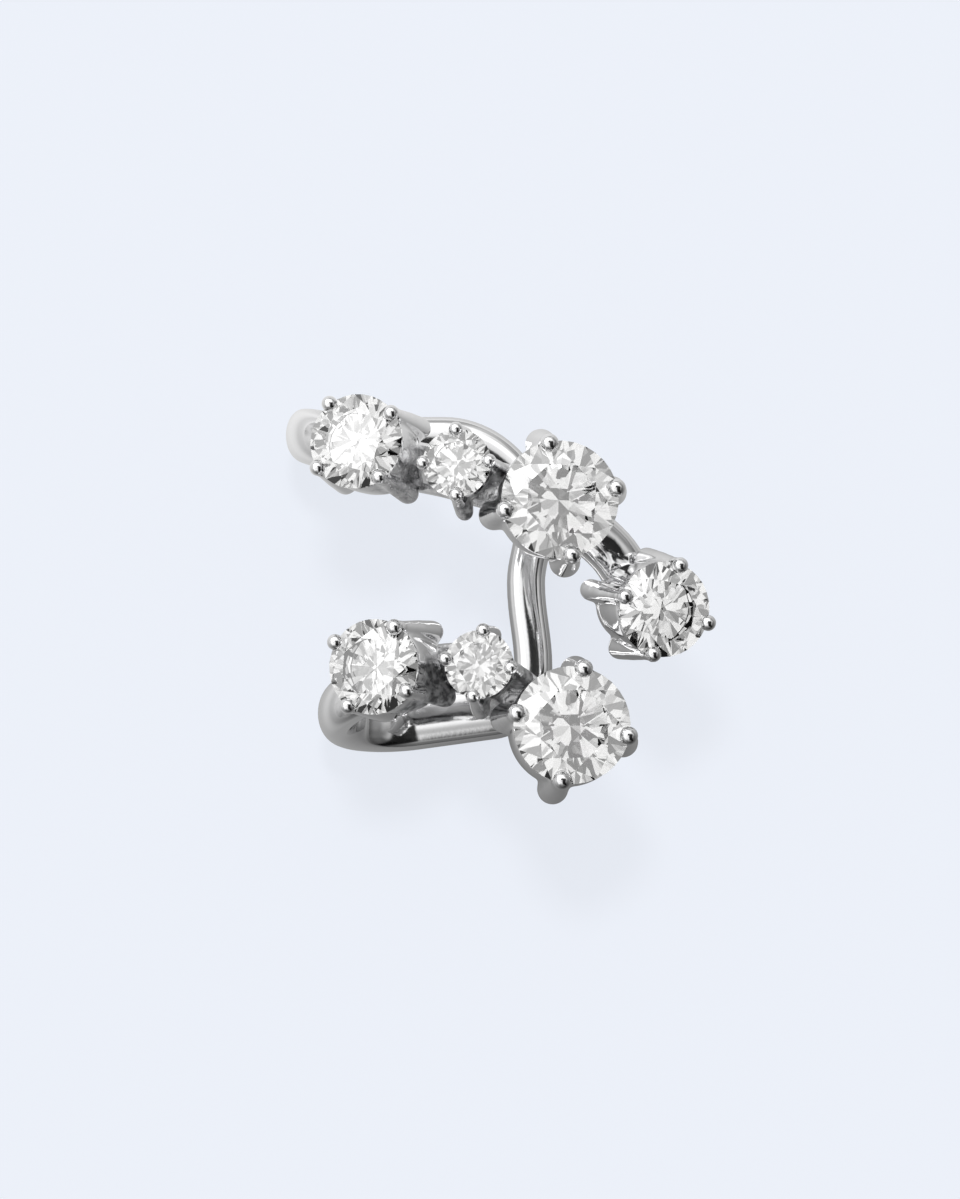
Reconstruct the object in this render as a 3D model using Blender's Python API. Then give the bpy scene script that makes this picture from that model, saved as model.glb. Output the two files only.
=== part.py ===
"""An ear cuff of polished silver: one band bent into two hairpin loops that clasp
the rim of the ear, with seven round brilliant stones in claw settings on its front.
It lies with its stones up, on the flat undersides of its back legs. Metres, +Z up,
+X from the bends of the loops to the open mouth. The origin is under the middle."""

import math
from collections import namedtuple

import bmesh
import bpy
from mathutils import Matrix, Vector

# The cut stones, across the girdle
LARGE_STONE = 0.0040
MEDIUM_STONE = 0.00325
SMALL_STONE = 0.00235

# How high each girdle stands over the foot of its basket
LARGE_RISE = 0.0028
MEDIUM_RISE = 0.0034
SMALL_RISE = 0.0022

# The ball at the tip of each claw, and the foot of the claw, across
LARGE_BALL = 0.00066
MEDIUM_BALL = 0.00057
SMALL_BALL = 0.00052
LARGE_FOOT = 0.0011
MEDIUM_FOOT = 0.00078
SMALL_FOOT = 0.00064

# How far the foot of a claw stands outside its ball
LARGE_SPLAY = 0.00013
MEDIUM_SPLAY = 0.00003
SMALL_SPLAY = 0.00020

# The band
BAND_THICK = 0.0012
ARM_WIDTH = 0.0017
TIP_WIDTH = 0.00178
LOOP_WIDTH = 0.0021
BAR_WIDTH = 0.0013
EDGE_ROUND = 0.0005

# The clasp: what holds the ear
CHANNEL = 0.0053
LEG_SPREAD = 0.00935
UPPER_REACH = 0.0082
LOWER_REACH = 0.0071
TIP_HEIGHT = 0.0031
BEND_LENGTH = 0.0028
TOP_CORNER = 0.0028
LOW_CORNER = 0.0014
BAR_BOW = 0.00025

# How far each bend stands toward -Y of its leg, and how far the lower leg climbs
# toward +Y on its way to the bar
UPPER_LEAN = -0.0001
LOWER_LEAN = 0.0001
LOWER_SLANT = 0.00035

# Where the large stones stand: from the bar, and from the middle of their own leg
UPPER_ALONG = 0.00113
UPPER_ACROSS = -0.00304
LOWER_ALONG = 0.00153
LOWER_ACROSS = -0.00138
ARM_BOW = 0.00035
BOW_SHARE = 0.44
END_ASIDE = 0.0006

# The gaps between the girdles, along the rows from the bend to the mouth
UPPER_FIRST_GAP = 0.00077
UPPER_SECOND_GAP = 0.00063
UPPER_END_GAP = 0.00154
LOWER_FIRST_GAP = 0.00083
LOWER_SECOND_GAP = 0.00070

# Clearances and overlaps
SEAT_CLEARANCE = 0.00006
SINK = 0.00015
CUP_WALL = 0.00032
CUP_FLOOR = 0.0006

# The round brilliant, as shares of its diameter, and in degrees
TABLE = 0.62
STAR_REACH = 0.50
LOWER_HALF_REACH = 0.77
GIRDLE = 0.035
CROWN_SLOPE = 33.0
PAVILION_SLOPE = 40.8
STONE_SIDES = 32

CLAWS = 4
CLAW_SIDES = 8
BASKET_SIDES = 20
TURN_PER_STEP = 14.0

# A basket's wall, from its rim down to its foot: shares of the stone's radius, and of
# the way down from the girdle. The smaller the stone, the more its basket tapers.
Section = namedtuple("Section", "radius down")
BASKET_FULL = 0.35
TAPERED = (
    Section(0.95, 0.10),
    Section(0.95, BASKET_FULL),
    Section(0.82, 0.72),
    Section(0.68, 1.00),
)
SLOPED = (
    Section(0.95, 0.10),
    Section(0.95, BASKET_FULL),
    Section(0.88, 0.72),
    Section(0.76, 1.00),
)
STRAIGHT = (
    Section(0.95, 0.10),
    Section(1.00, BASKET_FULL),
    Section(0.98, 0.72),
    Section(0.88, 1.00),
)
CLAW_CIRCLE = 0.97
BALL_LIFT = 0.45
NECK_DROP = 1.3
CLAW_WEB = 1.3
OVERRUN = 0.4

Setting = namedtuple("Setting", "stone rise ball foot splay basket")
LARGE = Setting(LARGE_STONE, LARGE_RISE, LARGE_BALL, LARGE_FOOT, LARGE_SPLAY, STRAIGHT)
MEDIUM = Setting(MEDIUM_STONE, MEDIUM_RISE, MEDIUM_BALL, MEDIUM_FOOT, MEDIUM_SPLAY, SLOPED)
SMALL = Setting(SMALL_STONE, SMALL_RISE, SMALL_BALL, SMALL_FOOT, SMALL_SPLAY, TAPERED)

# One seat for each stone, from the bend to the mouth. The leans are degrees off
# upright, towards +X and +Y. The claws turn about the stone. The gap is what is left
# between this girdle and the next, whose way on is its heading and its climb.
Seat = namedtuple("Seat", "name setting lean_x lean_y claw_turn facet_turn gap heading climb")
UPPER_ROW = (
    Seat("upper_stone_1", MEDIUM, -17, 2.5, 34, 14, UPPER_FIRST_GAP, -13.7, 11.3),
    Seat("upper_stone_2", SMALL, -8, 4, 0, 31, UPPER_SECOND_GAP, -20.9, 11.0),
    Seat("upper_stone_3", LARGE, 6, -4, 11.5, 8, UPPER_END_GAP, -45.6, -12.4),
    Seat("upper_stone_4", MEDIUM, 20.5, -11, -18, 27, 0, 0, 0),
)
LOWER_ROW = (
    Seat("lower_stone_1", MEDIUM, -23, -3.5, 57, 5, LOWER_FIRST_GAP, 0.0, 11.1),
    Seat("lower_stone_2", SMALL, -8, 2, -9, 19, LOWER_SECOND_GAP, -34.5, 10.8),
    Seat("lower_stone_3", LARGE, 6.5, -2.5, -11, 36, 0, 0, 0),
)
LARGE_AT = 2

# One stop of the band's centre line: which way its outer face looks, its width, and
# its heading where the stops beside it don't give that
Stop = namedtuple("Stop", "at out width heading")

UP = Vector((0, 0, 1))
DOWN = Vector((0, 0, -1))
BENDWARD = Vector((-1, 0, 0))
MOUTHWARD = Vector((1, 0, 0))


def clear_scene():
    for thing in list(bpy.data.objects):
        bpy.data.objects.remove(thing, do_unlink=True)


def metal_finish():
    """Polished silver with its rhodium plate."""
    finish = bpy.data.materials.new("polished_silver")
    finish.use_nodes = True
    shader = finish.node_tree.nodes["Principled BSDF"]
    shader.inputs["Base Color"].default_value = (0.83, 0.83, 0.84, 1)
    shader.inputs["Metallic"].default_value = 1.0
    shader.inputs["Roughness"].default_value = 0.1
    finish.diffuse_color = (0.83, 0.83, 0.84, 1)
    return finish


def stone_finish(name):
    """Clear cubic zirconia."""
    finish = bpy.data.materials.new(name + "_crystal")
    finish.use_nodes = True
    shader = finish.node_tree.nodes["Principled BSDF"]
    shader.inputs["Base Color"].default_value = (0.98, 0.98, 1.0, 1)
    shader.inputs["Roughness"].default_value = 0.0
    shader.inputs["IOR"].default_value = 2.15
    shader.inputs["Transmission Weight"].default_value = 1.0
    finish.diffuse_color = (0.9, 0.93, 1.0, 1)
    return finish


def object_from(bm, name, finish):
    mesh = bpy.data.meshes.new(name)
    bm.to_mesh(mesh)
    bm.free()
    made = bpy.data.objects.new(name, mesh)
    bpy.context.scene.collection.objects.link(made)
    mesh.materials.append(finish)
    return made


def step_between(seat, after):
    """From one girdle's centre to the next one's."""
    length = seat.setting.stone / 2 + seat.gap + after.setting.stone / 2
    heading = math.radians(seat.heading)
    climb = math.radians(seat.climb)
    level = length * math.cos(climb)
    return Vector((level * math.cos(heading), level * math.sin(heading), length * math.sin(climb)))


def lean_of(seat):
    sideways = math.tan(math.radians(seat.lean_x))
    upward = math.tan(math.radians(seat.lean_y))
    return Vector((sideways, upward, 1)).normalized()


def girdle_centres(row, along, across, leg_y):
    """The large stone's place is given, and the others follow from it."""
    large = row[LARGE_AT]
    arm_top = BAND_THICK + CHANNEL + BAND_THICK
    height = arm_top + large.setting.rise * lean_of(large).z
    centres = {LARGE_AT: Vector((along, leg_y + across, height))}
    for i in range(LARGE_AT, len(row) - 1):
        centres[i + 1] = centres[i] + step_between(row[i], row[i + 1])
    for i in range(LARGE_AT, 0, -1):
        centres[i - 1] = centres[i] - step_between(row[i - 1], row[i])
    return [centres[i] for i in range(len(row))]


def seat_matrix(seat, centre):
    """Turns the seat's own frame, with its claws along X and Y, into the cuff's."""
    up = lean_of(seat)
    across = (Vector((1, 0, 0)) - up * up.x).normalized()
    turn = Matrix.Rotation(math.radians(seat.claw_turn), 4, "Z")
    axes = Matrix((across, up.cross(across), up)).transposed().to_4x4()
    return Matrix.Translation(centre) @ axes @ turn


def ring_points(radius, height, count, start):
    points = []
    for i in range(count):
        angle = math.radians(start) + 2 * math.pi * i / count
        points.append(Vector((radius * math.cos(angle), radius * math.sin(angle), height)))
    return points


def brilliant_points(diameter):
    """The corners of a round brilliant whose girdle is centred on the origin."""
    radius = diameter / 2
    crown = math.tan(math.radians(CROWN_SLOPE))
    pavilion = math.tan(math.radians(PAVILION_SLOPE))
    half_step = math.cos(math.pi / 8)
    edge = GIRDLE * diameter / 2
    table_radius = TABLE * radius
    table_height = edge + (radius - table_radius) * crown
    inner = table_radius * half_step
    star_radius = inner + (radius - inner) * STAR_REACH
    star_height = table_height - (star_radius * half_step - table_radius) * crown
    half_radius = radius * (1 - LOWER_HALF_REACH)
    half_height = -edge - (radius - half_radius * half_step) * pavilion
    sag = radius * (1 - math.cos(math.pi / 16))
    points = ring_points(table_radius, table_height, 8, 0)
    points += ring_points(star_radius, star_height, 8, 22.5)
    points += ring_points(half_radius, half_height, 8, 22.5)
    points.append(Vector((0, 0, -edge - radius * pavilion)))
    for i, rim in enumerate(ring_points(radius, 0, STONE_SIDES, 0)):
        dip = sag if i % 2 else 0
        points.append(rim + UP * (edge - dip * crown))
        points.append(rim - UP * (edge - dip * pavilion))
    return points


def brilliant(name, diameter, place, finish):
    bm = bmesh.new()
    for point in brilliant_points(diameter):
        bm.verts.new(point)
    bmesh.ops.convex_hull(bm, input=bm.verts, use_existing_faces=False)
    bmesh.ops.recalc_face_normals(bm, faces=bm.faces)
    bmesh.ops.transform(bm, matrix=place, verts=bm.verts)
    return object_from(bm, name, finish)


def turned(profile, sides):
    """A bmesh of the profile, pairs of radius and height, spun about Z."""
    bm = bmesh.new()
    spots = [bm.verts.new((radius, 0, height)) for radius, height in profile]
    for low, high in zip(spots, spots[1:]):
        bm.edges.new((low, high))
    bmesh.ops.spin(
        bm, geom=bm.verts[:] + bm.edges[:], cent=(0, 0, 0), axis=(0, 0, 1),
        angle=2 * math.pi, steps=sides, use_merge=True,
    )
    bmesh.ops.remove_doubles(bm, verts=bm.verts, dist=1e-7)
    bmesh.ops.recalc_face_normals(bm, faces=bm.faces)
    return bm


def basket_profile(setting):
    radius = setting.stone / 2
    wall = [(s.radius * radius, -s.down * setting.rise) for s in setting.basket]
    return [(0, wall[0][1])] + wall + [(0, -setting.rise)]


def hollow_profile(setting):
    """The inside of the cup, which opens into the stone's seat."""
    radius = setting.stone / 2
    floor = -setting.rise + CUP_FLOOR
    mouth = setting.basket[0].radius * radius - CUP_WALL
    narrow = setting.basket[-1].radius * radius - CUP_WALL
    return [(0, 0), (mouth, 0), (mouth, BASKET_FULL * -setting.rise), (narrow, floor), (0, floor)]


def claw_profile(setting):
    """A foot, a shank that narrows upwards, and a ball."""
    foot = setting.foot / 2
    ball = setting.ball / 2
    low = -setting.rise
    lift = BALL_LIFT * setting.ball
    profile = [(0, low), (0.72 * foot, low + 0.12 * foot), (foot, low + 0.6 * foot)]
    profile.append((0.5 * (foot + ball), 0.5 * low))
    profile.append((0.9 * ball, lift - NECK_DROP * ball))
    for angle in (-25, 32):
        out = math.radians(angle)
        profile.append((ball * math.cos(out), lift + ball * math.sin(out)))
    return profile + [(0, lift + ball)]


def setting_pieces(seat, place, finish):
    """The basket and its claws, as solids that the frame takes in."""
    basket = turned(basket_profile(seat.setting), BASKET_SIDES)
    bmesh.ops.transform(basket, matrix=place, verts=basket.verts)
    pieces = [object_from(basket, seat.name + "_basket", finish)]
    for i in range(CLAWS):
        claw = turned(claw_profile(seat.setting), CLAW_SIDES)
        for spot in claw.verts:
            down = max(0, -spot.co.z / seat.setting.rise)
            if spot.co.x < 0:
                spot.co.x *= 1 + CLAW_WEB * down
            spot.co.x += seat.setting.splay * down
        out = Matrix.Translation((CLAW_CIRCLE * seat.setting.stone / 2, 0, 0))
        around = Matrix.Rotation(2 * math.pi * i / CLAWS, 4, "Z")
        bmesh.ops.transform(claw, matrix=place @ around @ out, verts=claw.verts)
        pieces.append(object_from(claw, f"{seat.name}_claw_{i}", finish))
    return pieces


def setting_cutters(seat, place, facets, finish):
    """What comes out of the metal: the stone's seat and the hollow of the cup."""
    hollow = turned(hollow_profile(seat.setting), BASKET_SIDES)
    bmesh.ops.transform(hollow, matrix=place, verts=hollow.verts)
    seat_size = seat.setting.stone + 2 * SEAT_CLEARANCE
    return [
        object_from(hollow, seat.name + "_hollow", finish),
        brilliant(seat.name + "_seat", seat_size, place @ facets, finish),
    ]


def arm_stops(row, centres):
    """From the mouth's end of an arm to its last basket before the bend."""
    stops = []
    for seat, centre in zip(row, centres):
        up = lean_of(seat)
        foot = centre - up * seat.setting.rise
        stops.append(Stop(foot - up * (BAND_THICK / 2 - SINK), up, ARM_WIDTH, None))
    stops.reverse()
    end = stops[0]
    way = end.at - stops[1].at
    way = (way - end.out * way.dot(end.out)).normalized()
    overrun = OVERRUN * row[-1].setting.stone / 2
    return [Stop(end.at + way * overrun, end.out, ARM_WIDTH, None)] + stops


def bowed(stops):
    """Sets the end beside the foot of its basket, and bows the bar that leads there."""
    end, large = stops[1], stops[2]
    aside = (large.at - end.at).cross(end.out).normalized()
    moved = [stop._replace(at=stop.at + aside * END_ASIDE) for stop in stops[:2]]
    chord = large.at - moved[1].at
    out = (end.out + large.out).normalized()
    aside = chord.cross(out).normalized()
    at = moved[1].at + chord * BOW_SHARE + aside * ARM_BOW
    return moved + [Stop(at, out, ARM_WIDTH, None)] + stops[2:]


def slanted():
    """The way that the lower leg runs, from the bar to its bend."""
    run = LOWER_REACH + BAR_BOW - BAND_THICK / 2 - BEND_LENGTH - LOW_CORNER
    return Vector((-run, -LOWER_SLANT, 0)).normalized()


def loop_stops(leg_y, lean, reach, heading):
    """The bend of a loop, and the start of its leg."""
    centre = BAND_THICK / 2
    tip = Vector((centre - reach, leg_y - lean, TIP_HEIGHT))
    leg = Vector((centre - reach + BEND_LENGTH, leg_y, centre))
    return [
        Stop(tip, BENDWARD, TIP_WIDTH, None),
        Stop(leg, DOWN, LOOP_WIDTH, heading),
    ]


def bar_stops(top_y, low_y):
    """The end of the upper leg, the bar behind the ear, and the end of the lower leg."""
    level = BAND_THICK / 2
    back = Vector((0, -1, 0))
    corner_y = low_y + LOWER_SLANT
    return [
        Stop(Vector((-TOP_CORNER, top_y, level)), DOWN, LOOP_WIDTH, MOUTHWARD),
        Stop(Vector((BAR_BOW, top_y - TOP_CORNER, level)), DOWN, BAR_WIDTH, back),
        Stop(Vector((0, (top_y + low_y) / 2, level)), DOWN, BAR_WIDTH, back),
        Stop(Vector((BAR_BOW, corner_y + LOW_CORNER, level)), DOWN, BAR_WIDTH, back),
        Stop(Vector((BAR_BOW - LOW_CORNER, corner_y, level)), DOWN, LOOP_WIDTH, slanted()),
    ]


def headings_of(stops):
    """The way of travel at each stop, square to its outer face."""
    headings = []
    for i, stop in enumerate(stops):
        before = stops[max(i - 1, 0)].at
        after = stops[min(i + 1, len(stops) - 1)].at
        way = stop.heading or (after - before)
        way = way - stop.out * way.dot(stop.out)
        headings.append(way.normalized())
    return headings


def centre_line(stops):
    """Stations of place, outward way and width, along cubic arcs between the stops."""
    headings = headings_of(stops)
    stations = []
    for i in range(len(stops) - 1):
        here, there = stops[i], stops[i + 1]
        reach = (there.at - here.at).length * 1.12
        start, end = headings[i] * reach, headings[i + 1] * reach
        turn = headings[i].angle(headings[i + 1]) + here.out.angle(there.out)
        steps = max(2, math.ceil(math.degrees(turn) / TURN_PER_STEP))
        for k in range(steps + (i == len(stops) - 2)):
            t = k / steps
            place = here.at * (2 * t**3 - 3 * t**2 + 1) + start * (t**3 - 2 * t**2 + t)
            place = place + there.at * (3 * t**2 - 2 * t**3) + end * (t**3 - t**2)
            way = here.at * (6 * t**2 - 6 * t) + start * (3 * t**2 - 4 * t + 1)
            way = way + there.at * (6 * t - 6 * t**2) + end * (3 * t**2 - 2 * t)
            out = here.out.slerp(there.out, t)
            out = (out - way.normalized() * out.dot(way.normalized())).normalized()
            ease = 3 * t**2 - 2 * t**3
            width = here.width * (1 - ease) + there.width * ease
            stations.append((place, way.normalized(), out, width))
    return stations


def band_section(width, thick, corner):
    """A flat strip's outline with rounded edges: pairs of sideways and outward."""
    outline = []
    for quarter, (side, face) in enumerate(((1, 1), (-1, 1), (-1, -1), (1, -1))):
        for angle in (0, 45, 90):
            turn = math.radians(90 * quarter + angle)
            sideways = side * (width / 2 - corner) + corner * math.cos(turn)
            outward = face * (thick / 2 - corner) + corner * math.sin(turn)
            outline.append((sideways, outward))
    return outline


def band(stops, finish):
    bm = bmesh.new()
    rings = []
    for place, way, out, width in centre_line(stops):
        side = way.cross(out)
        section = band_section(width, BAND_THICK, EDGE_ROUND)
        rings.append([bm.verts.new(place + side * a + out * b) for a, b in section])
    for ring, after in zip(rings, rings[1:]):
        for k in range(len(ring)):
            n = (k + 1) % len(ring)
            bm.faces.new((ring[k], ring[n], after[n], after[k]))
    bm.faces.new(rings[0][::-1])
    bm.faces.new(rings[-1])
    bmesh.ops.recalc_face_normals(bm, faces=bm.faces)
    return object_from(bm, "cuff_frame", finish)


def hide_guides(things, group):
    for thing in things:
        bpy.context.scene.collection.objects.unlink(thing)
        group.objects.link(thing)
        thing.hide_render = True
        thing.display_type = "WIRE"


def boolean(body, group, operation):
    """The exact solver leaves open edges where the claws, basket and band all meet."""
    cut = body.modifiers.new(operation.lower(), "BOOLEAN")
    cut.operand_type = "COLLECTION"
    cut.collection = group
    cut.operation = operation
    cut.solver = "MANIFOLD"


def centre_over_origin(things):
    """Moves the whole cuff so that the origin is under the middle of its box."""
    bpy.context.view_layer.update()
    graph = bpy.context.evaluated_depsgraph_get()
    shown = [thing for thing in things if not thing.hide_render]
    corners = []
    for thing in shown:
        corners += [Vector(corner) for corner in thing.evaluated_get(graph).bound_box]
    low = Vector([min(c[i] for c in corners) for i in range(3)])
    high = Vector([max(c[i] for c in corners) for i in range(3)])
    middle = (low + high) / 2
    for thing in things:
        thing.location -= Vector((middle.x, middle.y, low.z))


def build():
    clear_scene()
    silver = metal_finish()
    taken_in = bpy.data.collections.new("taken_in")
    cut_out = bpy.data.collections.new("cut_out")
    bpy.context.scene.collection.children.link(taken_in)
    bpy.context.scene.collection.children.link(cut_out)

    top_y = LEG_SPREAD / 2
    low_y = -LEG_SPREAD / 2
    upper = girdle_centres(UPPER_ROW, UPPER_ALONG, UPPER_ACROSS, top_y)
    lower = girdle_centres(LOWER_ROW, LOWER_ALONG, LOWER_ACROSS, low_y)

    stops = bowed(arm_stops(UPPER_ROW, upper))
    stops += loop_stops(top_y, UPPER_LEAN, UPPER_REACH, MOUTHWARD)
    stops += bar_stops(top_y, low_y)
    stops += loop_stops(low_y, LOWER_LEAN, LOWER_REACH, slanted())[::-1]
    stops += arm_stops(LOWER_ROW, lower)[::-1]
    frame = band(stops, silver)

    stones = []
    for seat, centre in zip(UPPER_ROW + LOWER_ROW, upper + lower):
        place = seat_matrix(seat, centre)
        facets = Matrix.Rotation(math.radians(seat.facet_turn), 4, "Z")
        hide_guides(setting_pieces(seat, place, silver), taken_in)
        hide_guides(setting_cutters(seat, place, facets, silver), cut_out)
        crystal = stone_finish(seat.name)
        stones.append(brilliant(seat.name, seat.setting.stone, place @ facets, crystal))

    boolean(frame, taken_in, "UNION")
    boolean(frame, cut_out, "DIFFERENCE")
    centre_over_origin([frame] + stones + list(taken_in.objects) + list(cut_out.objects))


build()
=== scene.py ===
import math
from collections import namedtuple

import bmesh
import bpy
from mathutils import Matrix, Vector


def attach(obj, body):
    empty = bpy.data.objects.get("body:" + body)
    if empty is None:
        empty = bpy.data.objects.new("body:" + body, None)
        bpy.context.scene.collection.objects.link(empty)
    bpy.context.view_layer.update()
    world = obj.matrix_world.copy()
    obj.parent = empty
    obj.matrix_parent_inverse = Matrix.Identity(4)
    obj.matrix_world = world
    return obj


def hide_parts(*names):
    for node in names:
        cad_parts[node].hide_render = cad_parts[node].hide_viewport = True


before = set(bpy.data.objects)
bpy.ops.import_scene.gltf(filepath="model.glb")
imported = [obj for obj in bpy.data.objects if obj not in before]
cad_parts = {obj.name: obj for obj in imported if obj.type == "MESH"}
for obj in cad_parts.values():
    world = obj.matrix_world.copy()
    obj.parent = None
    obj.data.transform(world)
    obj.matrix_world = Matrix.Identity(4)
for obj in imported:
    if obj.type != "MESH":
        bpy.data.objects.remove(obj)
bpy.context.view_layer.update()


# The camera looks down on the cuff, a little from the side of the lower row, through
# a long lens. The cuff lies off the middle of the picture, as in the photograph.
PICTURE = (960, 1199)
PIXELS_PER_METRE = 29500.0
CUFF_MIDDLE = (500.2, 624.6)
CAMERA_ELEVATION = 83.0
CAMERA_DISTANCE = 0.9
CAMERA_SENSOR = 24.0
CAMERA_NEAR = 0.01
CAMERA_FAR = 10.0
# The height at which the picture has its scale
STONE_LEVEL = 0.0085


def place_camera():
    rise = math.radians(CAMERA_ELEVATION)
    toward = Vector((0, -math.cos(rise), math.sin(rise)))
    up = Vector((0, math.sin(rise), math.cos(rise)))
    right = (PICTURE[0] / 2 - CUFF_MIDDLE[0]) / PIXELS_PER_METRE
    above = (CUFF_MIDDLE[1] - PICTURE[1] / 2) / PIXELS_PER_METRE
    across = Vector((1, 0, 0)) * right + up * above
    lens = bpy.data.cameras.new("studio_camera")
    lens.sensor_fit = "VERTICAL"
    lens.sensor_height = CAMERA_SENSOR
    tall = PICTURE[1] / PIXELS_PER_METRE
    lens.lens = CAMERA_SENSOR * (CAMERA_DISTANCE - STONE_LEVEL) / tall
    lens.clip_start = CAMERA_NEAR
    lens.clip_end = CAMERA_FAR
    camera = bpy.data.objects.new("studio_camera", lens)
    camera.location = across + toward * CAMERA_DISTANCE
    camera.rotation_euler = (math.pi / 2 - rise, 0, 0)
    bpy.context.scene.collection.objects.link(camera)
    bpy.context.scene.camera = camera


place_camera()
bpy.context.scene.view_settings.view_transform = "Standard"


# The studio: a pale floor with a cool tint, and a tent of soft light. The tent has a
# dark gap to the right and the dark lens overhead, and is brightest up and to the
# left. The metal and the stones see the tent's folds, and the floor its even light.
FLOOR_COLOUR = Vector((0.845, 0.880, 0.952))
FLOOR_HALF = 0.6
FLOOR_BELOW = 0.00002
FLOOR_ROUGH = 0.9
# The share of the floor's tone that doesn't take the cuff's shadow
FLOOR_GLOW = 0.83
# What the metal sees of the floor: metres from the cuff's middle, and how bright. The
# darker tone near the cuff is the cuff's painted shadow.
FLOOR_IN_METAL = (
    (0.0, 0.30),
    (0.004, 0.33),
    (0.0085, 0.46),
    (0.013, 0.56),
    (0.024, 0.42),
    (0.12, 0.50),
)
# How much of that the stones see
FLOOR_IN_STONE = 0.5
# The way in which the floor and the tent get brighter in the metal, and the distance
# over which the floor does. On the floor this brighter side is painted light.
FLOOR_SIDE = Vector((-0.42, 0.90, 0.0))
TENT_SIDE = Vector((-0.55, 0.60, 0.0))
CUFF_SIZE = 0.007

LAMP_AT = Vector((-0.03, 0.18, 0.63))
LAMP_SIZE = 0.10
LAMP_POWER = 1.5

# The light that the tent gives the floor
TENT_EVEN = 0.65
# What the metal sees of the tent, from its hem, nought, to its top, one
TENT_HEIGHT = ((0.0, 0.34), (0.35, 0.40), (0.58, 0.95), (0.78, 1.15), (0.95, 0.90))
# The tent's folds: how many, how soft their edges, and their darker and lighter tone
Folds = namedtuple("Folds", "scale edge dark light")
METAL_FOLDS = Folds(2.4, 0.35, 0.6, 1.3)
STONE_FOLDS = Folds(5.0, 0.42, 0.42, 1.24)
# Round patches of the tent: their middle, and the degrees where their edge fades
Patch = namedtuple("Patch", "toward near far")
KEY = Patch(Vector((-0.52, 0.50, 0.69)), 10.0, 28.0)
KEY_STRENGTH = 1.6
LENS = Patch(Vector((0.02, 0.12, 0.99)), 6.5, 11.0)
# The dark gap runs from front to back: the middle and the half of its width and length
GAP_WIDE = (0.42, 0.26)
GAP_LONG = (-0.30, 0.48)
GAP_SOFT = 0.10
GAP_DARK = 0.96


def grey(value):
    return (value, value, value, 1)


def math_node(nodes, links, operation, first, second):
    node = nodes.new("ShaderNodeMath")
    node.operation = operation
    for socket, value in zip(node.inputs, (first, second)):
        if isinstance(value, float):
            socket.default_value = value
        else:
            links.new(value, socket)
    return node.outputs[0]


def ramp_node(nodes, links, value, stops):
    """A grey ramp through stops of place, nought to one, and brightness."""
    ramp = nodes.new("ShaderNodeValToRGB")
    first, last = ramp.color_ramp.elements
    first.position, first.color = stops[0][0], grey(stops[0][1])
    last.position, last.color = stops[-1][0], grey(stops[-1][1])
    for at, shade in stops[1:-1]:
        ramp.color_ramp.elements.new(at).color = grey(shade)
    ramp.color_ramp.interpolation = "EASE"
    links.new(value, ramp.inputs["Fac"])
    return ramp.outputs["Color"]


def mixed(nodes, links, first, second, factor):
    """First where the factor is nought, second where it is one."""
    node = nodes.new("ShaderNodeMix")
    node.data_type = "RGBA"
    for socket, value in (("A", first), ("B", second), ("Factor", factor)):
        if isinstance(value, (float, tuple)):
            node.inputs[socket].default_value = value
        else:
            links.new(value, node.inputs[socket])
    return node.outputs["Result"]


def brighter_side(nodes, links, way, slope):
    """One and a little more to the left and behind, less to the right and in front."""
    side = nodes.new("ShaderNodeVectorMath")
    side.operation = "DOT_PRODUCT"
    side.inputs[1].default_value = slope
    links.new(way, side.inputs[0])
    return math_node(nodes, links, "ADD", side.outputs["Value"], 1.0)


def lay_floor():
    bm = bmesh.new()
    bmesh.ops.create_grid(bm, x_segments=1, y_segments=1, size=FLOOR_HALF)
    mesh = bpy.data.meshes.new("studio_floor")
    bm.to_mesh(mesh)
    bm.free()
    floor = bpy.data.objects.new("studio_floor", mesh)
    floor.location.z = -FLOOR_BELOW
    bpy.context.scene.collection.objects.link(floor)
    paint = bpy.data.materials.new("studio_floor")
    paint.use_nodes = True
    nodes = paint.node_tree.nodes
    links = paint.node_tree.links
    shader = nodes["Principled BSDF"]
    shader.inputs["Roughness"].default_value = FLOOR_ROUGH
    shader.inputs["Specular IOR Level"].default_value = 0.0
    shader.inputs["Emission Strength"].default_value = 1.0
    path = nodes.new("ShaderNodeLightPath")
    through = path.outputs["Is Transmission Ray"]
    stone = math_node(nodes, links, "MULTIPLY", through, FLOOR_IN_STONE)
    gloss = math_node(nodes, links, "MAXIMUM", path.outputs["Is Glossy Ray"], stone)
    where = nodes.new("ShaderNodeTexCoord")
    away = nodes.new("ShaderNodeVectorMath")
    away.operation = "LENGTH"
    links.new(where.outputs["Object"], away.inputs[0])
    reach = FLOOR_IN_METAL[-1][0]
    share_away = math_node(nodes, links, "DIVIDE", away.outputs["Value"], reach)
    width = math_node(nodes, links, "ADD", away.outputs["Value"], CUFF_SIZE)
    way = nodes.new("ShaderNodeVectorMath")
    way.operation = "DIVIDE"
    links.new(where.outputs["Object"], way.inputs[0])
    links.new(width, way.inputs[1])
    side = brighter_side(nodes, links, way.outputs["Vector"], FLOOR_SIDE)
    # The metal and the stones see the floor in a painted tone: the cuff's shadow near
    # it, and light on one side
    shares = {"Base Color": 1 - FLOOR_GLOW, "Emission Color": FLOOR_GLOW}
    for socket, share in shares.items():
        stops = [(metres / reach, shade * share) for metres, shade in FLOOR_IN_METAL]
        ramp = ramp_node(nodes, links, share_away, stops)
        shade = math_node(nodes, links, "MULTIPLY", ramp, side)
        tone = mixed(nodes, links, (*(FLOOR_COLOUR * share), 1), shade, gloss)
        links.new(tone, shader.inputs[socket])
    mesh.materials.append(paint)


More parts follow.
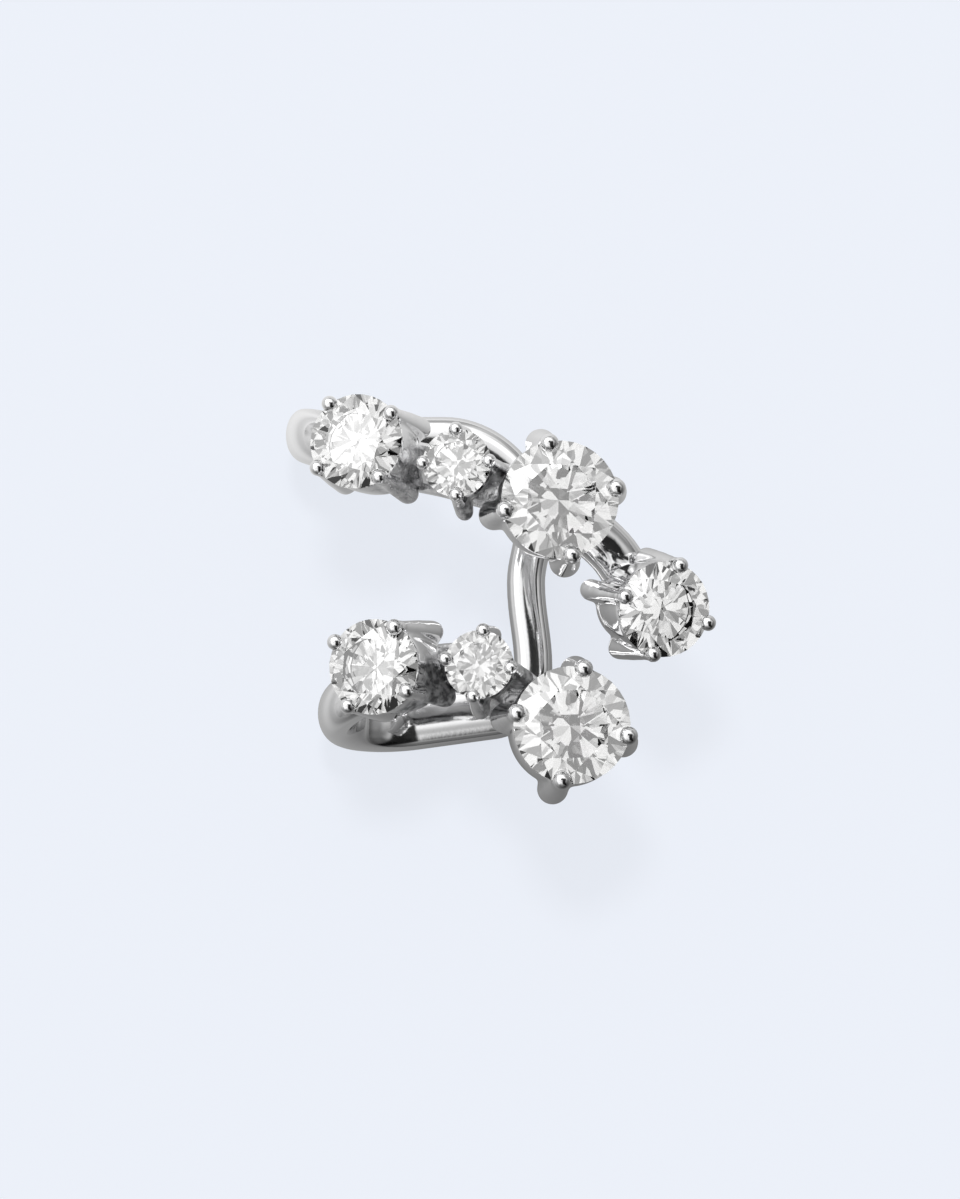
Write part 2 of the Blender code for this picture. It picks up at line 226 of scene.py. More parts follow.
def round_patch(nodes, links, way, patch):
    """A soft round patch: one within the near angle, nought past the far one."""
    angle = nodes.new("ShaderNodeVectorMath")
    angle.operation = "DOT_PRODUCT"
    angle.inputs[1].default_value = patch.toward.normalized()
    links.new(way, angle.inputs[0])
    edge = nodes.new("ShaderNodeMapRange")
    edge.interpolation_type = "SMOOTHSTEP"
    edge.inputs["From Min"].default_value = math.cos(math.radians(patch.far))
    edge.inputs["From Max"].default_value = math.cos(math.radians(patch.near))
    links.new(angle.outputs["Value"], edge.inputs["Value"])
    return edge.outputs["Result"]


def strip(nodes, links, value, span):
    """One within the half of the span round its middle, and softly nought outside."""
    middle, half = span
    off = math_node(nodes, links, "SUBTRACT", value, middle)
    off = math_node(nodes, links, "ABSOLUTE", off, 0.0)
    edge = nodes.new("ShaderNodeMapRange")
    edge.interpolation_type = "SMOOTHSTEP"
    edge.inputs["From Min"].default_value = half + GAP_SOFT
    edge.inputs["From Max"].default_value = half
    links.new(off, edge.inputs["Value"])
    return edge.outputs["Result"]


def drapes(nodes, links, way, folds):
    """Soft folds all round, from the darker tone to the lighter one."""
    cloth = nodes.new("ShaderNodeTexNoise")
    cloth.inputs["Scale"].default_value = folds.scale
    cloth.inputs["Detail"].default_value = 1.0
    links.new(way, cloth.inputs["Vector"])
    fold = nodes.new("ShaderNodeMapRange")
    fold.inputs["From Min"].default_value = folds.edge
    fold.inputs["From Max"].default_value = 1.0 - folds.edge
    fold.inputs["To Min"].default_value = folds.dark
    fold.inputs["To Max"].default_value = folds.light
    links.new(cloth.outputs["Fac"], fold.inputs["Value"])
    return fold.outputs["Result"]


def hang_tent():
    world = bpy.data.worlds.new("studio_tent")
    bpy.context.scene.world = world
    world.use_nodes = True
    nodes = world.node_tree.nodes
    links = world.node_tree.links
    coordinates = nodes.new("ShaderNodeTexCoord")
    way = coordinates.outputs["Generated"]
    split = nodes.new("ShaderNodeSeparateXYZ")
    links.new(way, split.inputs[0])
    height = ramp_node(nodes, links, split.outputs["Z"], TENT_HEIGHT)
    folds = drapes(nodes, links, way, METAL_FOLDS)
    folds = math_node(nodes, links, "MULTIPLY", height, folds)
    key = round_patch(nodes, links, way, KEY)
    key = math_node(nodes, links, "MULTIPLY", key, KEY_STRENGTH)
    lit = math_node(nodes, links, "ADD", folds, key)
    side = brighter_side(nodes, links, way, TENT_SIDE)
    lit = math_node(nodes, links, "MULTIPLY", lit, side)
    across = strip(nodes, links, split.outputs["X"], GAP_WIDE)
    along = strip(nodes, links, split.outputs["Y"], GAP_LONG)
    gap = math_node(nodes, links, "MULTIPLY", across, along)
    lens = round_patch(nodes, links, way, LENS)
    gap = math_node(nodes, links, "MAXIMUM", gap, lens)
    gap = math_node(nodes, links, "MULTIPLY", gap, GAP_DARK)
    closed = math_node(nodes, links, "SUBTRACT", 1.0, gap)
    path = nodes.new("ShaderNodeLightPath")
    metal = math_node(nodes, links, "MULTIPLY", lit, closed)
    stone = drapes(nodes, links, way, STONE_FOLDS)
    seen = mixed(nodes, links, grey(TENT_EVEN), metal, path.outputs["Is Glossy Ray"])
    seen = mixed(nodes, links, seen, stone, path.outputs["Is Transmission Ray"])
    seen = mixed(nodes, links, seen, (*FLOOR_COLOUR, 1), path.outputs["Is Camera Ray"])
    links.new(seen, nodes["Background"].inputs["Color"])


def hang_lamp():
    lamp = bpy.data.lights.new("studio_lamp", "AREA")
    lamp.shape = "DISK"
    lamp.size = LAMP_SIZE
    lamp.energy = LAMP_POWER
    hung = bpy.data.objects.new("studio_lamp", lamp)
    hung.location = LAMP_AT
    hung.rotation_euler = LAMP_AT.to_track_quat("Z", "Y").to_euler()
    hung.visible_glossy = False
    hung.visible_transmission = False
    bpy.context.scene.collection.objects.link(hung)


lay_floor()
hang_tent()
hang_lamp()


# Seven round brilliants of clear cubic zirconia, cut with a table and 56 facets.
# Each lies on the rim of its basket and is held down by four claws. They are the
# frame's own stones, whose facets are true, with a clear finish.
LARGE_STONE = 0.0040
MEDIUM_STONE = 0.00325
SMALL_STONE = 0.00235
# The girdle's thickness as a share of the stone, and the pavilion's slope in degrees
GIRDLE = 0.035
PAVILION_SLOPE = 40.8
# Zirconia bends light by 2.16 and diamond by 2.42. The stones take a value near the
# higher, for the hard bright and dark facets that the photograph shows.
STONE_INDEX = 2.4
STONE_CLEAR = (1.0, 1.0, 1.0, 1)
STONE_CLOUDED = (0.985, 0.982, 0.975, 1)
POLISH_SCALE = 900.0
POLISH_SPAN = (0.45, 0.75)
POLISH_ROUGH = 0.02

# A seat for each stone: its size, its leans off upright toward +X and +Y and the turn
# of its claws, in degrees. Then how raw the casting is left at its wall, darkened there
# with painted shade, and which way
Seat = namedtuple("Seat", "name stone lean_x lean_y claw_turn raw raw_way")
UPPER_SEATS = (
    Seat("upper_stone_1", MEDIUM_STONE, -17, 2.5, 34, 0.5, -35),
    Seat("upper_stone_2", SMALL_STONE, -8, 4, 0, 1.0, -45),
    Seat("upper_stone_3", LARGE_STONE, 6, -4, 11.5, 0.1, 160),
    Seat("upper_stone_4", MEDIUM_STONE, 20.5, -11, -18, 0.0, 0),
)
LOWER_SEATS = (
    Seat("lower_stone_1", MEDIUM_STONE, -23, -3.5, 57, 1.0, -28),
    Seat("lower_stone_2", SMALL_STONE, -8, 2, -9, 1.0, -45),
    Seat("lower_stone_3", LARGE_STONE, 6.5, -2.5, -11, 0.1, 140),
)


def lean_of(seat):
    sideways = math.tan(math.radians(seat.lean_x))
    upward = math.tan(math.radians(seat.lean_y))
    return Vector((sideways, upward, 1)).normalized()


def girdle_centre(seat):
    """Up the stone's axis from its culet, its lowest point along that axis."""
    up = lean_of(seat)
    corners = [v.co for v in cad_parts[seat.name].data.vertices]
    culet = min(corners, key=lambda corner: corner.dot(up))
    pavilion = math.tan(math.radians(PAVILION_SLOPE))
    return culet + up * seat.stone / 2 * (GIRDLE + pavilion)


def crystal():
    """Clear zirconia, with the faintest cloud of its polish in the roughness."""
    finish = bpy.data.materials.new("clear_stone")
    finish.use_nodes = True
    nodes = finish.node_tree.nodes
    links = finish.node_tree.links
    shader = nodes["Principled BSDF"]
    shader.inputs["IOR"].default_value = STONE_INDEX
    shader.inputs["Transmission Weight"].default_value = 1.0
    where = nodes.new("ShaderNodeTexCoord")
    cloud = nodes.new("ShaderNodeTexNoise")
    cloud.inputs["Scale"].default_value = POLISH_SCALE
    cloud.inputs["Detail"].default_value = 2.0
    links.new(where.outputs["Object"], cloud.inputs["Vector"])
    polish = nodes.new("ShaderNodeMapRange")
    polish.inputs["From Min"].default_value = POLISH_SPAN[0]
    polish.inputs["From Max"].default_value = POLISH_SPAN[1]
    polish.inputs["To Min"].default_value = 0.0
    polish.inputs["To Max"].default_value = POLISH_ROUGH
    links.new(cloud.outputs["Fac"], polish.inputs["Value"])
    links.new(polish.outputs["Result"], shader.inputs["Roughness"])
    tint = nodes.new("ShaderNodeMix")
    tint.data_type = "RGBA"
    tint.inputs["A"].default_value = STONE_CLEAR
    tint.inputs["B"].default_value = STONE_CLOUDED
    links.new(cloud.outputs["Fac"], tint.inputs["Factor"])
    links.new(tint.outputs["Result"], shader.inputs["Base Color"])
    return finish


stone_finish = crystal()
for seat in UPPER_SEATS + LOWER_SEATS:
    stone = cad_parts[seat.name]
    stone.data.materials.clear()
    stone.data.materials.append(stone_finish)


# The band: a cast strip of sterling silver, bent into two hairpin loops whose back
# legs are joined by a narrower bar, then filed round at its edges and polished. Its
# arms carry the baskets. Between the baskets the skin of the casting is left rough,
# and painted shade darkens it there.
BAND_THICK = 0.0012
ARM_WIDTH = 0.0017
TIP_WIDTH = 0.00178
LOOP_WIDTH = 0.0021
BAR_WIDTH = 0.0013

# The clasp: how far the legs lie apart, how far each bend reaches from the bar and how
# high its tip is, and how far each bend stands off the line of its leg
LEG_SPREAD = 0.00935
UPPER_REACH = 0.0082
LOWER_REACH = 0.0071
TIP_HEIGHT = 0.0031
BEND_LENGTH = 0.0028
UPPER_LEAN = -0.0001
LOWER_LEAN = 0.0001
LOWER_SLANT = 0.00035

# The bar's corners and its bow, and where it lies from the large stone above it
TOP_CORNER = 0.0028
LOW_CORNER = 0.0014
BAR_BOW = 0.00025
UPPER_ALONG = 0.00113
UPPER_ACROSS = -0.00304

# The upper arm's last stretch: how far it bows and where, and how far its end lies
# beside the foot of the basket there. Both arms run on past their last basket's middle.
ARM_BOW = 0.00035
BOW_SHARE = 0.44
END_ASIDE = 0.0006
OVERRUN = 0.4

# How high each girdle stands over the foot of its basket, and how deep the foot sinks
RISE = {LARGE_STONE: 0.0028, MEDIUM_STONE: 0.0034, SMALL_STONE: 0.0022}
SINK = 0.00015

# The fineness of the strip, and the powers that press its round: one is an ellipse
BAND_SIDES = 40
TURN_PER_STEP = 4.0
FEWEST_STEPS = 8
INNER_ROUND = 0.76
OUTER_ROUND = 1.0
# How strongly the centre line keeps to the heading of each stop
CURVE_PULL = 1.12

DOWN = Vector((0, 0, -1))
BENDWARD = Vector((-1, 0, 0))
MOUTHWARD = Vector((1, 0, 0))
BACK = Vector((0, -1, 0))

# A stop's rough is how raw the skin is left there, which also brings painted shade
Stop = namedtuple("Stop", "at out width heading rough")


def arm_stops(seats):
    """From the mouth's end of an arm to its last basket before the bend."""
    stops = []
    for seat in seats:
        up = lean_of(seat)
        foot = girdle_centre(seat) - up * RISE[seat.stone]
        at = foot - up * (BAND_THICK / 2 - SINK)
        stops.append(Stop(at, up, ARM_WIDTH, None, seat.raw))
    stops.reverse()
    end = stops[0]
    way = end.at - stops[1].at
    way = (way - end.out * way.dot(end.out)).normalized()
    overrun = OVERRUN * seats[-1].stone / 2
    return [end._replace(at=end.at + way * overrun)] + stops


def bowed(stops):
    """Sets the end beside the foot of its basket, and bows the bar that leads there."""
    end, large = stops[1], stops[2]
    aside = (large.at - end.at).cross(end.out).normalized()
    moved = [stop._replace(at=stop.at + aside * END_ASIDE) for stop in stops[:2]]
    chord = large.at - moved[1].at
    out = (end.out + large.out).normalized()
    aside = chord.cross(out).normalized()
    at = moved[1].at + chord * BOW_SHARE + aside * ARM_BOW
    return moved + [Stop(at, out, ARM_WIDTH, None, 0.0)] + stops[2:]


def slanted():
    """The way that the lower leg runs, from the bar to its bend."""
    run = LOWER_REACH + BAR_BOW - BAND_THICK / 2 - BEND_LENGTH - LOW_CORNER
    return Vector((-run, -LOWER_SLANT, 0)).normalized()


def loop_stops(bar_x, leg_y, lean, reach, heading):
    centre = BAND_THICK / 2
    tip = Vector((bar_x + centre - reach, leg_y - lean, TIP_HEIGHT))
    leg = Vector((bar_x + centre - reach + BEND_LENGTH, leg_y, centre))
    return [
        Stop(tip, BENDWARD, TIP_WIDTH, None, 0.0),
        Stop(leg, DOWN, LOOP_WIDTH, heading, 0.0),
    ]


def bar_stops(bar_x, top_y, low_y):
    level = BAND_THICK / 2
    corner_y = low_y + LOWER_SLANT
    places = (
        (-TOP_CORNER, top_y, LOOP_WIDTH, MOUTHWARD),
        (BAR_BOW, top_y - TOP_CORNER, BAR_WIDTH, BACK),
        (0, (top_y + low_y) / 2, BAR_WIDTH, BACK),
        (BAR_BOW, corner_y + LOW_CORNER, BAR_WIDTH, BACK),
        (BAR_BOW - LOW_CORNER, corner_y, LOOP_WIDTH, slanted()),
    )
    return [
        Stop(Vector((bar_x + x, y, level)), DOWN, width, heading, 0.0)
        for x, y, width, heading in places
    ]


def band_stops():
    large = girdle_centre(UPPER_SEATS[2])
    bar_x = large.x - UPPER_ALONG
    top_y = large.y - UPPER_ACROSS
    low_y = top_y - LEG_SPREAD
    stops = bowed(arm_stops(UPPER_SEATS))
    stops += loop_stops(bar_x, top_y, UPPER_LEAN, UPPER_REACH, MOUTHWARD)
    stops += bar_stops(bar_x, top_y, low_y)
    stops += loop_stops(bar_x, low_y, LOWER_LEAN, LOWER_REACH, slanted())[::-1]
    return stops + arm_stops(LOWER_SEATS)[::-1]


def headings_of(stops):
    headings = []
    for i, stop in enumerate(stops):
        before = stops[max(i - 1, 0)].at
        after = stops[min(i + 1, len(stops) - 1)].at
        way = stop.heading or (after - before)
        headings.append((way - stop.out * way.dot(stop.out)).normalized())
    return headings


def centre_line(stops):
    """Stations of place, heading, outward way, width, and the roughness and painted
    shade of the raw skin.
    """
    headings = headings_of(stops)
    stations = []
    for i in range(len(stops) - 1):
        here, there = stops[i], stops[i + 1]
        reach = (there.at - here.at).length * CURVE_PULL
        start, end = headings[i] * reach, headings[i + 1] * reach
        turn = headings[i].angle(headings[i + 1]) + here.out.angle(there.out)
        steps = max(FEWEST_STEPS, math.ceil(math.degrees(turn) / TURN_PER_STEP))
        for k in range(steps + (i == len(stops) - 2)):
            t = k / steps
            place = here.at * (2 * t**3 - 3 * t**2 + 1) + start * (t**3 - 2 * t**2 + t)
            place = place + there.at * (3 * t**2 - 2 * t**3) + end * (t**3 - t**2)
            way = here.at * (6 * t**2 - 6 * t) + start * (3 * t**2 - 4 * t + 1)
            way = way + there.at * (6 * t - 6 * t**2) + end * (3 * t**2 - 2 * t)
            way = way.normalized()
            out = here.out.slerp(there.out, t)
            out = (out - way * out.dot(way)).normalized()
            ease = 3 * t**2 - 2 * t**3
            width = here.width * (1 - ease) + there.width * ease
            rough = here.rough * (1 - ease) ** 2 + there.rough * ease**2
            stations.append((place, way, out, width, rough))
    return stations


def pressed(value, roundness):
    return math.copysign(abs(value) ** roundness, value)


def band_ring(bm, station, mark):
    """One ring of the strip: a circle pressed flatter inside the loops than outside."""
    place, way, out, width, rough = station
    ring = bmesh.ops.create_circle(bm, segments=BAND_SIDES, radius=1.0)["verts"]
    for spot in ring:
        sideways, outward = spot.co.x, spot.co.y
        # The half toward the stones takes the raw skin, with its roughness and its
        # painted shade
        spot[mark] = rough * max(0.0, outward)
        roundness = OUTER_ROUND if outward > 0 else INNER_ROUND
        across = pressed(sideways, roundness) * width / 2
        spot.co = Vector((across, pressed(outward, roundness) * BAND_THICK / 2, 0))
    turned = Matrix((way.cross(out), out, way)).transposed().to_4x4()
    bmesh.ops.transform(bm, matrix=Matrix.Translation(place) @ turned, verts=ring)
    return list(dict.fromkeys(edge for spot in ring for edge in spot.link_edges))


def shape_band():
    bm = bmesh.new()
    mark = bm.verts.layers.float.new("cast_skin_and_shade")
    rings = [band_ring(bm, station, mark) for station in centre_line(band_stops())]
    for ring, after in zip(rings, rings[1:]):
        bmesh.ops.bridge_loops(bm, edges=ring + after)
    for ring in (rings[0], rings[-1]):
        bmesh.ops.edgeloop_fill(bm, edges=ring)
    bmesh.ops.recalc_face_normals(bm, faces=bm.faces)
    return bm


def finished(bm, name, finish, sharp=35.0):
    """The bmesh as a piece of its own, shaded smooth but for its sharp edges."""
    mesh = bpy.data.meshes.new(name)
    bm.to_mesh(mesh)
    bm.free()
    mesh.shade_smooth()
    mesh.set_sharp_from_angle(angle=math.radians(sharp))
    mesh.materials.append(finish)
    piece = bpy.data.objects.new(name, mesh)
    bpy.context.scene.collection.objects.link(piece)
    return piece


# The silver's own tone, and the dark tone in the pits of the raw skin, which is painted
# shade between the settings and under the stones
SILVER_BRIGHT = (0.88, 0.88, 0.885, 1)
SILVER_PIT_SHADE = (0.13, 0.13, 0.135, 1)
# Patterns on the skin: how fine, how detailed, and how drawn out along each axis
Pattern = namedtuple("Pattern", "scale detail stretch")
SMEAR = Pattern(700.0, 3.0, (1, 1, 1))
GRIT = Pattern(4200.0, 5.0, (1, 1, 0.45))
BUFFING = Pattern(9000.0, 2.0, (1, 1, 0.08))
# Where in the grit the pits begin and end, and how deep the least of them is and how
# dark with painted shade
PIT_SPAN = (0.40, 0.60)
PIT_LEAST = 0.35


def silver_group():
    """Polished silver: a haze of wear, buffing lines, and the casting's raw grain,
    whose pits are darkened with painted shade.
    """
    group = bpy.data.node_groups.new("silver_skin_and_shade", "ShaderNodeTree")
    sockets = group.interface
    for name in ("Haze", "Grain", "Lines"):
        sockets.new_socket(name, in_out="INPUT", socket_type="NodeSocketFloat")
    sockets.new_socket("Colour", in_out="OUTPUT", socket_type="NodeSocketColor")
    sockets.new_socket("Roughness", in_out="OUTPUT", socket_type="NodeSocketFloat")
    sockets.new_socket("Height", in_out="OUTPUT", socket_type="NodeSocketFloat")
    nodes = group.nodes
    links = group.links
    into = nodes.new("NodeGroupInput")
    out = nodes.new("NodeGroupOutput")
    where = nodes.new("ShaderNodeTexCoord")
    skin = nodes.new("ShaderNodeAttribute")
    skin.attribute_name = "cast_skin_and_shade"

    def noise(pattern):
        drawn = nodes.new("ShaderNodeMapping")
        drawn.inputs["Scale"].default_value = pattern.stretch
        texture = nodes.new("ShaderNodeTexNoise")
        texture.inputs["Scale"].default_value = pattern.scale
        texture.inputs["Detail"].default_value = pattern.detail
        links.new(where.outputs["Object"], drawn.inputs["Vector"])
        links.new(drawn.outputs["Vector"], texture.inputs["Vector"])
        return texture.outputs["Fac"]

    smear = noise(SMEAR)
    grit = noise(GRIT)
    buffed = noise(BUFFING)
    pits = nodes.new("ShaderNodeMapRange")
    pits.inputs["From Min"].default_value = PIT_SPAN[0]
    pits.inputs["From Max"].default_value = PIT_SPAN[1]
    pits.inputs["To Min"].default_value = PIT_LEAST
    links.new(grit, pits.inputs["Value"])
    raw = skin.outputs["Fac"]
    pits_and_shade = math_node(nodes, links, "MULTIPLY", pits.outputs["Result"], raw)

    haze = math_node(nodes, links, "MULTIPLY", smear, into.outputs["Haze"])
    grain = math_node(nodes, links, "MULTIPLY", raw, into.outputs["Grain"])
    rough = math_node(nodes, links, "ADD", haze, grain)
    lines = math_node(nodes, links, "MULTIPLY", buffed, into.outputs["Lines"])
    height = math_node(nodes, links, "ADD", pits_and_shade, lines)
    # The pits darken the silver's tone: painted shade where the raw skin lies between
    # and under the settings, besides their real bump
    tone = nodes.new("ShaderNodeMix")
    tone.data_type = "RGBA"
    tone.inputs["A"].default_value = SILVER_BRIGHT
    tone.inputs["B"].default_value = SILVER_PIT_SHADE
    links.new(pits_and_shade, tone.inputs["Factor"])
    links.new(tone.outputs["Result"], out.inputs["Colour"])
    links.new(rough, out.inputs["Roughness"])
    links.new(height, out.inputs["Height"])
    return group


def silver(name, haze, grain, lines, relief):
    """A silver finish. Its relief is the depth of the pits and lines, in metres."""
    finish = bpy.data.materials.new(name)
    finish.use_nodes = True
    nodes = finish.node_tree.nodes
    links = finish.node_tree.links
    shader = nodes["Principled BSDF"]
    shader.inputs["Metallic"].default_value = 1.0
    skin = nodes.new("ShaderNodeGroup")
    skin.node_tree = silver_skin_and_shade
    skin.inputs["Haze"].default_value = haze
    skin.inputs["Grain"].default_value = grain
    skin.inputs["Lines"].default_value = lines
    bump = nodes.new("ShaderNodeBump")
    bump.inputs["Strength"].default_value = 1.0
    bump.inputs["Distance"].default_value = relief
    links.new(skin.outputs["Colour"], shader.inputs["Base Color"])
    links.new(skin.outputs["Roughness"], shader.inputs["Roughness"])
    links.new(skin.outputs["Height"], bump.inputs["Height"])
    links.new(bump.outputs["Normal"], shader.inputs["Normal"])
    return finish


silver_skin_and_shade = silver_group()
band_finish = silver("polished_band", haze=0.16, grain=0.30, lines=0.02, relief=0.00004)
silver_band = finished(shape_band(), "silver_band", band_finish)


# The settings: each stone has a tapered basket, cast in one with four claws. A claw
# swells to a foot below and ends in a ball, pushed over the edge of the stone. The
# baskets are soldered to the arm, and hollow under the stone.

# A claw's ball and foot, across, and how far its foot stands outside its ball
BALL = {LARGE_STONE: 0.00066, MEDIUM_STONE: 0.00057, SMALL_STONE: 0.00052}
FOOT = {LARGE_STONE: 0.0011, MEDIUM_STONE: 0.00078, SMALL_STONE: 0.00064}
SPLAY = {LARGE_STONE: 0.00013, MEDIUM_STONE: 0.00003, SMALL_STONE: 0.00020}
CLAWS = 4
# The circle of the claws as a share of the stone, how high a ball stands over the
# girdle as a share of the ball, and how far a foot spreads inwards under the basket
CLAW_CIRCLE = 0.967
BALL_LIFT = 0.45
CLAW_WEB = 1.3
# A claw's foot: shares of its radius, out from the claw's middle and up from the foot
CLAW_FOOT = ((0.0, 0.0), (0.42, 0.06), (0.76, 0.25), (0.94, 0.62), (0.99, 1.0))
# Its waist is the mean of foot and ball, halfway down. Its neck: a share of the ball's
# radius, and of the way down. Its throat: shares of the ball's radius, out from the
# claw's middle and down from the ball's. Then the angles of the ball's rings.
CLAW_WAIST = 0.5
CLAW_NECK = (0.92, 0.16)
CLAW_THROAT = (0.86, 1.1)
BALL_STEPS = range(-40, 90, 13)
CLAW_SIDES = 20
BASKET_SIDES = 48
# The hollow: its wall and floor, and how it narrows in its last part
CUP_WALL = 0.00032
CUP_FLOOR = 0.0006
CUP_CORNER = (0.8, 0.3)
SEAT_CLEARANCE = 0.00006
# The casting: its grain, and how often it's smoothed all over, then below the rim
CAST_GRAIN = 0.00005
CAST_SMOOTHING = 4
FILLET_SMOOTHING = 12
FILLET_FROM = 0.08
TOUCHING = 1e-7
# Where the raw skin and its painted shade fade in: toward its side, and below the
# girdle
RAW_AND_SHADE_TOWARD = (0.52, 0.80)
RAW_AND_SHADE_BELOW = (0.15, 0.35)

# A basket's wall, from its rim to its foot: shares of the stone's radius, and of the
# way down from the girdle. The smaller the stone, the more its basket tapers.
Section = namedtuple("Section", "radius down")
BASKET_FULL = 0.35
MOUTH = 0.95
TAPERED = (
    Section(0.90, 0.07),
    Section(MOUTH, 0.12),
    Section(0.955, 0.22),
    Section(0.95, BASKET_FULL),
    Section(0.91, 0.50),
    Section(0.83, 0.72),
    Section(0.74, 0.90),
    Section(0.68, 0.97),
    Section(0.60, 1.00),
)
SLOPED = (
    Section(0.90, 0.07),
    Section(MOUTH, 0.12),
    Section(0.955, 0.22),
    Section(0.952, BASKET_FULL),
    Section(0.93, 0.50),
    Section(0.885, 0.72),
    Section(0.82, 0.90),
    Section(0.76, 0.97),
    Section(0.68, 1.00),
)
STRAIGHT = (
    Section(0.90, 0.07),
    Section(MOUTH, 0.12),
    Section(0.985, 0.22),
    Section(1.00, BASKET_FULL),
    Section(0.998, 0.50),
    Section(0.98, 0.72),
    Section(0.93, 0.90),
    Section(0.88, 0.97),
    Section(0.80, 1.00),
)
BASKET = {LARGE_STONE: STRAIGHT, MEDIUM_STONE: SLOPED, SMALL_STONE: TAPERED}


def seat_matrix(seat):
    """Turns the seat's own frame, with its claws along X and Y, into the cuff's."""
    up = lean_of(seat)
    across = (Vector((1, 0, 0)) - up * up.x).normalized()
    turn = Matrix.Rotation(math.radians(seat.claw_turn), 4, "Z")
    axes = Matrix((across, up.cross(across), up)).transposed().to_4x4()
    return Matrix.Translation(girdle_centre(seat)) @ axes @ turn


def spin_profile(bm, profile, sides):
    """Adds the turned solid of a profile of radius and height to the bmesh."""
    spots = [bm.verts.new((radius, 0, height)) for radius, height in profile]
    edges = [bm.edges.new(pair) for pair in zip(spots, spots[1:])]
    before = set(bm.verts) - set(spots)
    bmesh.ops.spin(
        bm, geom=spots + edges, cent=(0, 0, 0), axis=(0, 0, 1),
        angle=2 * math.pi, steps=sides, use_merge=True,
    )
    made = [v for v in bm.verts if v not in before]
    bmesh.ops.remove_doubles(bm, verts=made, dist=TOUCHING)
    return [v for v in bm.verts if v not in before]


def claw_profile(stone):
    foot = FOOT[stone] / 2
    ball = BALL[stone] / 2
    low = -RISE[stone]
    lift = BALL_LIFT * BALL[stone]
    profile = [(out * foot, low + up * foot) for out, up in CLAW_FOOT]
    profile.append((CLAW_WAIST * (foot + ball), CLAW_WAIST * low))
    profile.append((CLAW_NECK[0] * ball, CLAW_NECK[1] * low))
    profile.append((CLAW_THROAT[0] * ball, lift - CLAW_THROAT[1] * ball))
    for angle in BALL_STEPS:
        out = math.radians(angle)
        profile.append((ball * math.cos(out), lift + ball * math.sin(out)))
    return profile + [(0, lift + ball)]


def shape_setting(stone):
    """The basket and its claws as overlapping solids, upright at the origin."""
    bm = bmesh.new()
    wall = [(s.radius * stone / 2, -s.down * RISE[stone]) for s in BASKET[stone]]
    low = -RISE[stone]
    spin_profile(bm, [(0, wall[0][1])] + wall + [(0, low)], BASKET_SIDES)
    for i in range(CLAWS):
        claw = spin_profile(bm, claw_profile(stone), CLAW_SIDES)
        for spot in claw:
            down = max(0, -spot.co.z / RISE[stone])
            if spot.co.x < 0:
                spot.co.x *= 1 + CLAW_WEB * down
            spot.co.x += SPLAY[stone] * down
        out = Matrix.Translation((CLAW_CIRCLE * stone / 2, 0, 0))
        around = Matrix.Rotation(2 * math.pi * i / CLAWS, 4, "Z")
        bmesh.ops.transform(bm, matrix=around @ out, verts=claw)
    bmesh.ops.recalc_face_normals(bm, faces=bm.faces)
    return bm


def shape_hollow(stone):
    bm = bmesh.new()
    wide = MOUTH * stone / 2 - CUP_WALL
    narrow = BASKET[stone][-2].radius * stone / 2 - CUP_WALL
    floor = CUP_FLOOR - RISE[stone]
    profile = [(0, 0), (wide, 0), (wide, -BASKET_FULL * RISE[stone])]
    profile.append((narrow, floor + CUP_CORNER[1] * narrow))
    profile += [(CUP_CORNER[0] * narrow, floor), (0, floor)]
    spin_profile(bm, profile, BASKET_SIDES)
    bmesh.ops.recalc_face_normals(bm, faces=bm.faces)
    return bm


def grown_stone(seat):
    """The stone's own shape with its clearance, to cut its seat out of the claws."""
    bm = bmesh.new()
    bm.from_mesh(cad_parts[seat.name].data)
    bmesh.ops.remove_doubles(bm, verts=bm.verts, dist=TOUCHING)
    grown = 1 + 2 * SEAT_CLEARANCE / seat.stone
    bmesh.ops.scale(
        bm, vec=(grown, grown, grown), verts=bm.verts,
        space=Matrix.Translation(-girdle_centre(seat)),
    )
    return bm


def helper(bm, name):
    mesh = bpy.data.meshes.new(name)
    bm.to_mesh(mesh)
    bm.free()
    made = bpy.data.objects.new(name, mesh)
    bpy.context.scene.collection.objects.link(made)
    return made


def evaluated_mesh(thing):
    graph = bpy.context.evaluated_depsgraph_get()
    return bpy.data.meshes.new_from_object(thing.evaluated_get(graph), depsgraph=graph)


def smooth_casting(bm, spots):
    bmesh.ops.smooth_vert(
        bm, verts=spots, factor=0.5,
        use_axis_x=True, use_axis_y=True, use_axis_z=True,
    )


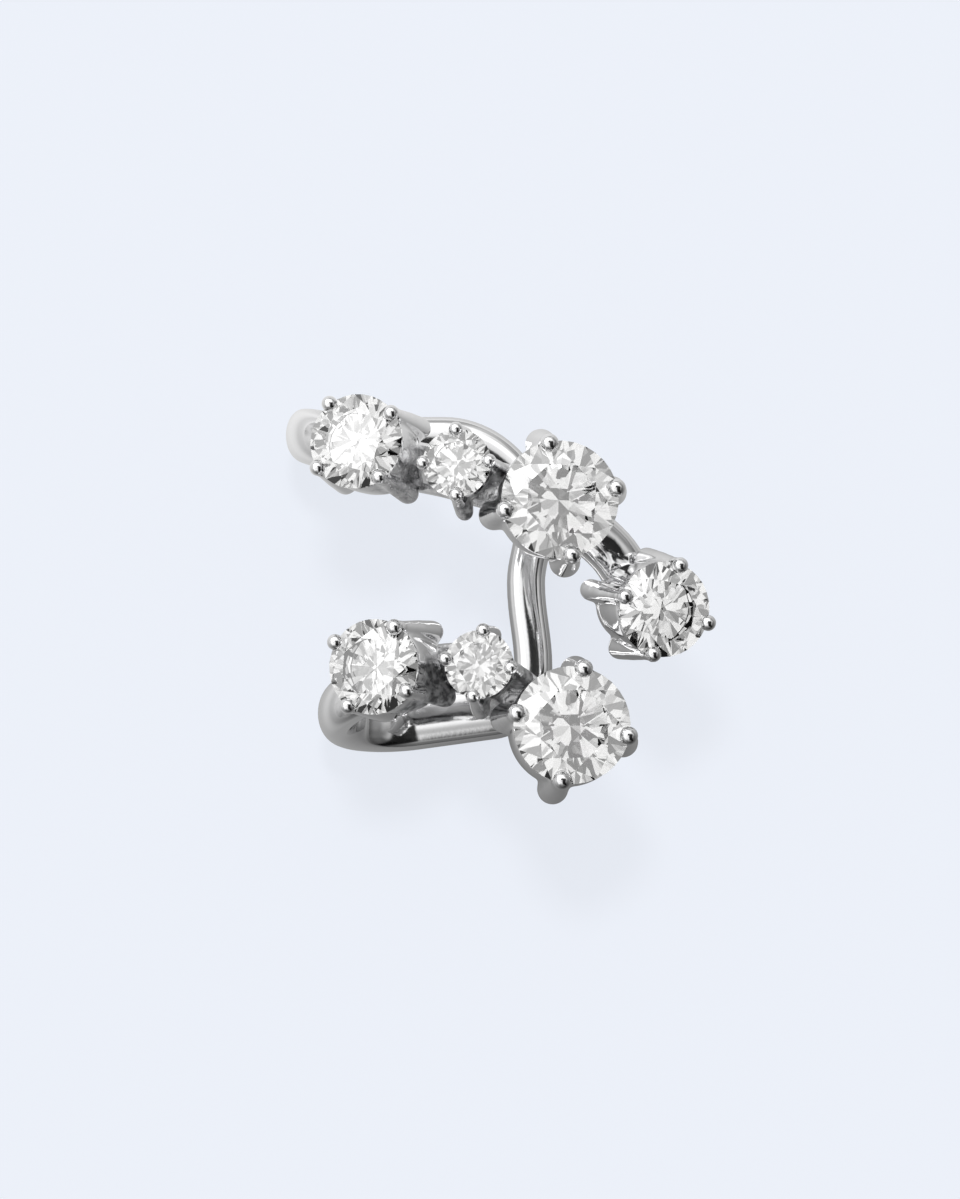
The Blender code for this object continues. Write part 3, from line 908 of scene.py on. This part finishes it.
def cast_setting(stone):
    """Fuses the overlapping solids as a casting is, with soft fillets under the rim."""
    raw = helper(shape_setting(stone), "raw_setting")
    fuse = raw.modifiers.new("fuse", "REMESH")
    fuse.mode = "VOXEL"
    fuse.voxel_size = CAST_GRAIN
    mesh = evaluated_mesh(raw)
    bpy.data.objects.remove(raw)
    bm = bmesh.new()
    bm.from_mesh(mesh)
    for _ in range(CAST_SMOOTHING):
        smooth_casting(bm, bm.verts)
    below = [spot for spot in bm.verts if spot.co.z < -FILLET_FROM * RISE[stone]]
    for _ in range(FILLET_SMOOTHING):
        smooth_casting(bm, below)
    bm.to_mesh(mesh)
    bm.free()
    return mesh


def eased(value, span):
    low, high = span
    share = min(1.0, max(0.0, (value - low) / (high - low)))
    return share * share * (3 - 2 * share)


def mark_rough_skin_and_shade(bm, seat):
    """The raw skin is left where a buff doesn't reach, between the settings, and
    painted shade darkens it there.
    """
    mark = bm.verts.layers.float.new("cast_skin_and_shade")
    centre = girdle_centre(seat)
    up = lean_of(seat)
    turn = math.radians(seat.raw_way)
    way = Vector((math.cos(turn), math.sin(turn), 0))
    for spot in bm.verts:
        out = spot.co - centre
        down = -out.dot(up) / RISE[seat.stone]
        level = out - up * out.dot(up)
        level.normalize()
        toward = eased(level.dot(way), RAW_AND_SHADE_TOWARD)
        spot[mark] = seat.raw * toward * eased(down, RAW_AND_SHADE_BELOW)


def set_stone(seat, mesh, finish):
    """Cuts the hollow and the stone's seat, and puts the setting under its stone."""
    place = seat_matrix(seat)
    body = bpy.data.objects.new("setting", mesh.copy())
    bpy.context.scene.collection.objects.link(body)
    body.data.transform(place)
    hollow = shape_hollow(seat.stone)
    bmesh.ops.transform(hollow, matrix=place, verts=hollow.verts)
    cutters = [helper(hollow, "hollow"), helper(grown_stone(seat), "seat")]
    for cutter in cutters:
        cut = body.modifiers.new(cutter.name, "BOOLEAN")
        cut.operation = "DIFFERENCE"
        cut.solver = "MANIFOLD"
        cut.object = cutter
    made = evaluated_mesh(body)
    for helped in cutters + [body]:
        bpy.data.objects.remove(helped)
    bm = bmesh.new()
    bm.from_mesh(made)
    mark_rough_skin_and_shade(bm, seat)
    return finished(bm, seat.name.replace("stone", "setting"), finish, sharp=50.0)


setting_finish = silver(
    "polished_settings", haze=0.14, grain=0.30, lines=0.05, relief=0.00004
)
castings = {stone: cast_setting(stone) for stone in BASKET}
settings = [
    set_stone(seat, castings[seat.stone], setting_finish)
    for seat in UPPER_SEATS + LOWER_SEATS
]

for piece in [silver_band] + settings:
    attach(piece, "root")
    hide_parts("cuff_frame")
